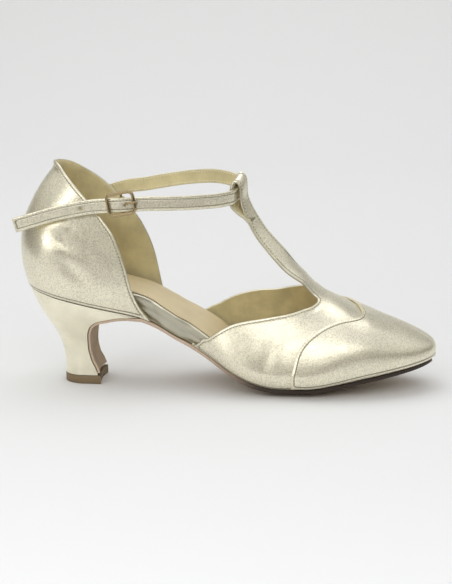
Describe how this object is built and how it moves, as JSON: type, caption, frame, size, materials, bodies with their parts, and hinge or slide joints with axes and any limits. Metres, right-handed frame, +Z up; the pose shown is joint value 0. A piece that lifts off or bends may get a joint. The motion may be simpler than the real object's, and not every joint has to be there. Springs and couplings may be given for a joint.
{
  "type": "ballroom shoe",
  "caption": "Women's T-strap ballroom shoe for the right foot: pale gold leather, closed toe, open shank, ankle strap with a small buckle and a flared 56 mm heel.",
  "frame": {"origin": "on the floor, under the middle of the whole shoe's box", "axes": "+X from the heel towards the toe, +Y towards the inner side of the right foot, +Z up from the floor"},
  "size_m": [0.2448, 0.078, 0.1318],
  "materials": {
    "metallic_leather": "pale gold metallic, finely creased, satin",
    "sole_leather": "suede, matt",
    "sock_leather": "soft lining leather, matt",
    "heel_tip": "brown, satin",
    "buckle_metal": "antique bronze, polished"
  },
  "bodies": {
    "root": {"outsole": "sole_leather", "heel": "metallic_leather", "heel_tip": "heel_tip", "insole": "metallic_leather", "sock": "sock_leather", "vamp": "metallic_leather", "toe_piece": "metallic_leather", "quarter": "metallic_leather", "ankle_strap": "metallic_leather", "buckle_frame": "buckle_metal", "buckle_prong": "buckle_metal", "buckle_tab": "metallic_leather"}
  },
  "joints": []
}
